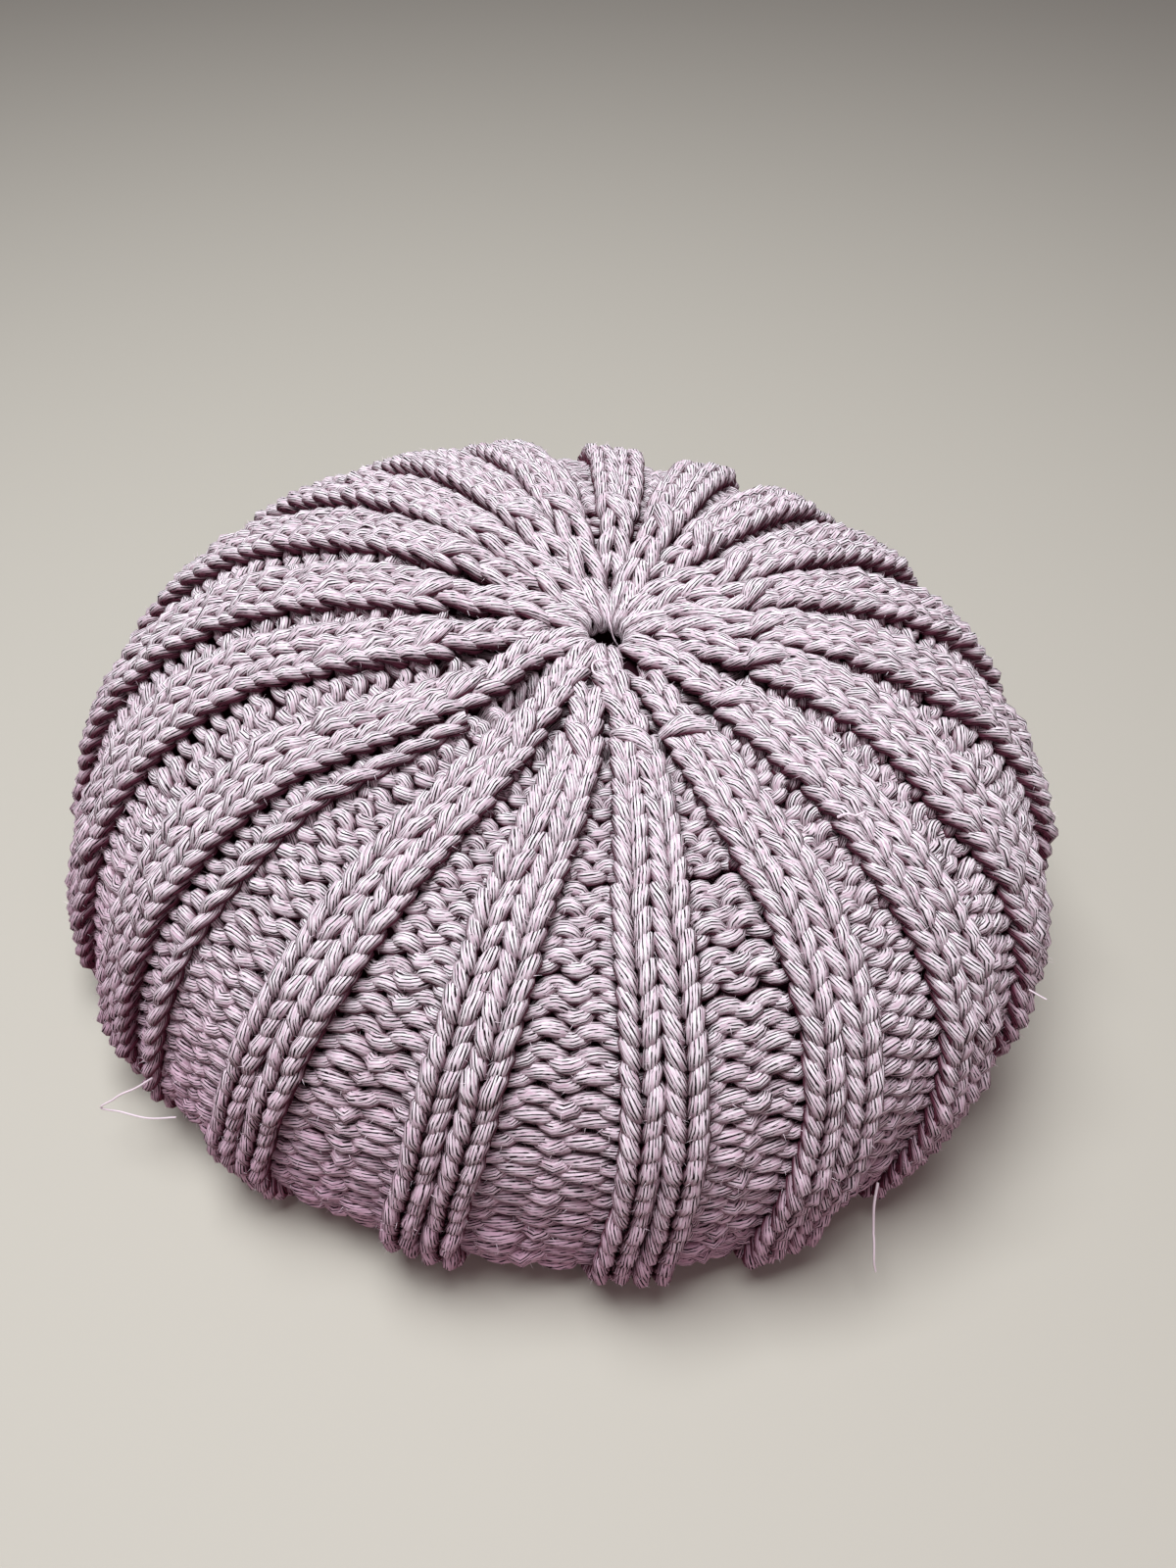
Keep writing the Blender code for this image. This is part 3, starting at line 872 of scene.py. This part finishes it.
def fuzzTree(name):
    # Geometry Nodes: one thin spike, a fibre of four triangles, on each random point of the outward faces
    tree = bpy.data.node_groups.new(name, "GeometryNodeTree")
    face = tree.interface
    face.new_socket("Stitches", in_out="INPUT", socket_type="NodeSocketGeometry")
    face.new_socket("Density", in_out="INPUT", socket_type="NodeSocketFloat")
    face.new_socket("Shortest", in_out="INPUT", socket_type="NodeSocketFloat")
    face.new_socket("Longest", in_out="INPUT", socket_type="NodeSocketFloat")
    face.new_socket("Seed", in_out="INPUT", socket_type="NodeSocketInt")
    face.new_socket("Material", in_out="INPUT", socket_type="NodeSocketMaterial")
    face.new_socket("Fibres", in_out="OUTPUT", socket_type="NodeSocketGeometry")
    source = addNode(tree, "NodeGroupInput")
    normal = addNode(tree, "GeometryNodeInputNormal")
    daylight = addNode(tree, "GeometryNodeInputNamedAttribute", values={"Name": "yarnDaylight"},
                       data_type="FLOAT_VECTOR")
    facing = addNode(tree, "ShaderNodeVectorMath", {0: (daylight, "Attribute"), 1: (normal, "Normal")},
                     operation="DOT_PRODUCT")
    outer = addNode(tree, "FunctionNodeCompare", {0: (facing, "Value")}, {1: 0.2},
                    data_type="FLOAT", operation="GREATER_THAN")
    points = addNode(tree, "GeometryNodeDistributePointsOnFaces",
                     {"Mesh": (source, "Stitches"), "Selection": (outer, "Result"),
                      "Density": (source, "Density"), "Seed": (source, "Seed")})
    fibre = addNode(tree, "GeometryNodeMeshCone", fill_type="NGON",
                    values={"Vertices": 3, "Side Segments": 1, "Fill Segments": 1, "Radius Top": 0.0,
                            "Radius Bottom": fuzz["thickness"], "Depth": 1.0})
    turn = addNode(tree, "FunctionNodeRandomValue", {"Seed": (source, "Seed")},
                   {0: (-fuzz["tilt"], -fuzz["tilt"], 0.0), 1: (fuzz["tilt"], fuzz["tilt"], 6.28)},
                   data_type="FLOAT_VECTOR")
    euler = addNode(tree, "FunctionNodeEulerToRotation", {"Euler": (turn, 0)})
    rotation = addNode(tree, "FunctionNodeRotateRotation",
                       {"Rotation": (points, "Rotation"), "Rotate By": (euler, "Rotation")},
                       rotation_space="LOCAL")
    size = addNode(tree, "FunctionNodeRandomValue",
                   {2: (source, "Shortest"), 3: (source, "Longest"), "Seed": (source, "Seed")})
    fibres = addNode(tree, "GeometryNodeInstanceOnPoints",
                     {"Points": (points, "Points"), "Instance": (fibre, "Mesh"),
                      "Rotation": (rotation, "Rotation"), "Scale": (size, 1)})
    real = addNode(tree, "GeometryNodeRealizeInstances", {"Geometry": (fibres, "Instances")})
    dressed = addNode(tree, "GeometryNodeSetMaterial",
                      {"Geometry": (real, "Geometry"), "Material": (source, "Material")})
    addNode(tree, "NodeGroupOutput", {"Fibres": (dressed, "Geometry")})
    return tree


def looseFibre():
    # single cotton fibres are nearly white and quite matt
    material = bpy.data.materials.new("looseCottonFibre")
    material.use_nodes = True
    shader = material.node_tree.nodes["Principled BSDF"]
    shader.inputs["Base Color"].default_value = hexColour(fuzz["colour"])
    shader.inputs["Roughness"].default_value = 1.0
    shader.inputs["Specular IOR Level"].default_value = 0.1
    return material


def addFuzz(material):
    tree = fuzzTree("cottonFuzz")
    joined = bmesh.new()
    for number, piece in enumerate(stitched):
        values = {"Density": fuzz["density"], "Shortest": fuzz["length"][0], "Longest": fuzz["length"][1],
                  "Seed": fuzz["seed"] + number, "Material": material}
        joined.from_mesh(runTree(piece.data, tree, values))
    data = bpy.data.meshes.new("cotton_fuzz")
    joined.to_mesh(data)
    joined.free()
    data.materials.append(material)
    handOver("cotton_fuzz", data)


fibre = looseFibre()
spin("loose_threads", threadPaths(), tree, yarn["plainSides"], fibre)
addFuzz(fibre)
print("threads and fuzz added")

# the filled body behind the stitches, which shows as smooth dark pink through stretched gaps, darkened as
# painted shade there and nearly black as painted shade in the hole
ground = {
    "depths": ((0.0, 0.02, 0.05, 0.12, 1.0, 1.05),  # at these shares of the way down
               (5 * mm, 6 * mm, 14 * mm, 21 * mm, 21 * mm, 14 * mm)),
    "rows": 100,
    "columns": 120,
    "first": -0.035,
    "last": 1.96,
    # dark pink, made darker still as painted shade in the gaps between the stitches
    "colour": "#4C2233",
    # painted shade: the nearly black colour down in the hole
    "hole": "#1E070F",
    "holeShade": (0.02, 0.1),  # shares of the way down over which the hole's painted shade gives way
}


def addGround():
    data = bmesh.new()
    downs = np.linspace(ground["first"], ground["last"], ground["rows"])
    turns = np.linspace(0, 2 * np.pi, ground["columns"], endpoint=False)
    rings = []
    for down in downs:
        deep = np.interp(down, *ground["depths"])
        points, _ = onBody(turns, np.full(len(turns), down), np.full(len(turns), deep))
        rings.append([data.verts.new(point) for point in points])
    for upper, lower in zip(rings[:-1], rings[1:]):
        for place in range(len(turns)):
            after = (place + 1) % len(turns)
            data.faces.new((upper[place], lower[place], lower[after], upper[after]))
    data.faces.new(rings[0])
    data.faces.new(rings[-1][::-1])
    mesh = bpy.data.meshes.new("filled_body")
    data.to_mesh(mesh)
    data.free()
    mesh.shade_smooth()
    # how far each ring is out of the hole's painted shade: 0 deep in the hole, 1 outside it
    shades = np.repeat(np.interp(downs, ground["holeShade"], (0, 1)), len(turns)).astype(np.float32)
    mesh.attributes.new("daylight", "FLOAT", "POINT").data.foreach_set("value", shades)
    mesh.materials.append(clothWithPaintedShade())
    piece = handOver("filled_body", mesh)


def clothWithPaintedShade():
    # the same cotton as a plain smooth cloth, a dark pink darkened as painted shade between the stitches,
    # and nearly black as painted shade in the hole
    material = bpy.data.materials.new("cottonClothWithPaintedShade")
    material.use_nodes = True
    tree = material.node_tree
    shader = tree.nodes["Principled BSDF"]
    daylight = addNode(tree, "ShaderNodeAttribute", attribute_name="daylight")
    colour = addNode(tree, "ShaderNodeMix", {0: (daylight, "Fac")},
                     {6: hexColour(ground["hole"]), 7: hexColour(ground["colour"])}, data_type="RGBA")
    tree.links.new(colour.outputs[2], shader.inputs["Base Color"])
    shader.inputs["Roughness"].default_value = 0.9
    shader.inputs["Specular IOR Level"].default_value = 0.1
    return material


addGround()
print("filled body added")

room = {
    "floor": "#B4ADA4",
    "world": "#E6DCE2",
    "worldStrength": 0.18,
    "lamps": (("windowLight", "#F3FAFB", (-0.2, -0.08, 1.8), 1.0, 48),
              ("roomLight", "#FFDCE4", (0.5, -1.6, 1.5), 1.6, 6)),
}


def addStage():
    bpy.ops.mesh.primitive_plane_add(size=8)
    floor = bpy.context.object
    floor.name = "studio_floor"
    material = bpy.data.materials.new("paleFloor")
    material.use_nodes = True
    shader = material.node_tree.nodes["Principled BSDF"]
    shader.inputs["Base Color"].default_value = hexColour(room["floor"])
    shader.inputs["Roughness"].default_value = 0.7
    floor.data.materials.append(material)
    world = bpy.data.worlds.new("studioSky")
    world.use_nodes = True
    background = world.node_tree.nodes["Background"]
    background.inputs["Color"].default_value = hexColour(room["world"])
    background.inputs["Strength"].default_value = room["worldStrength"]
    bpy.context.scene.world = world
    bpy.context.scene.view_settings.view_transform = "Standard"
    for name, colour, place, size, power in room["lamps"]:
        data = bpy.data.lights.new(name, "AREA")
        data.color = hexColour(colour)[:3]
        data.shape = "SQUARE"
        data.size = size
        data.energy = power
        lamp = bpy.data.objects.new(name, data)
        lamp.location = place
        aim = Vector((0.0, 0.0, 0.1)) - Vector(place)
        lamp.rotation_euler = aim.to_track_quat("-Z", "Y").to_euler()
        bpy.context.scene.collection.objects.link(lamp)


addStage()
print("stage lit")
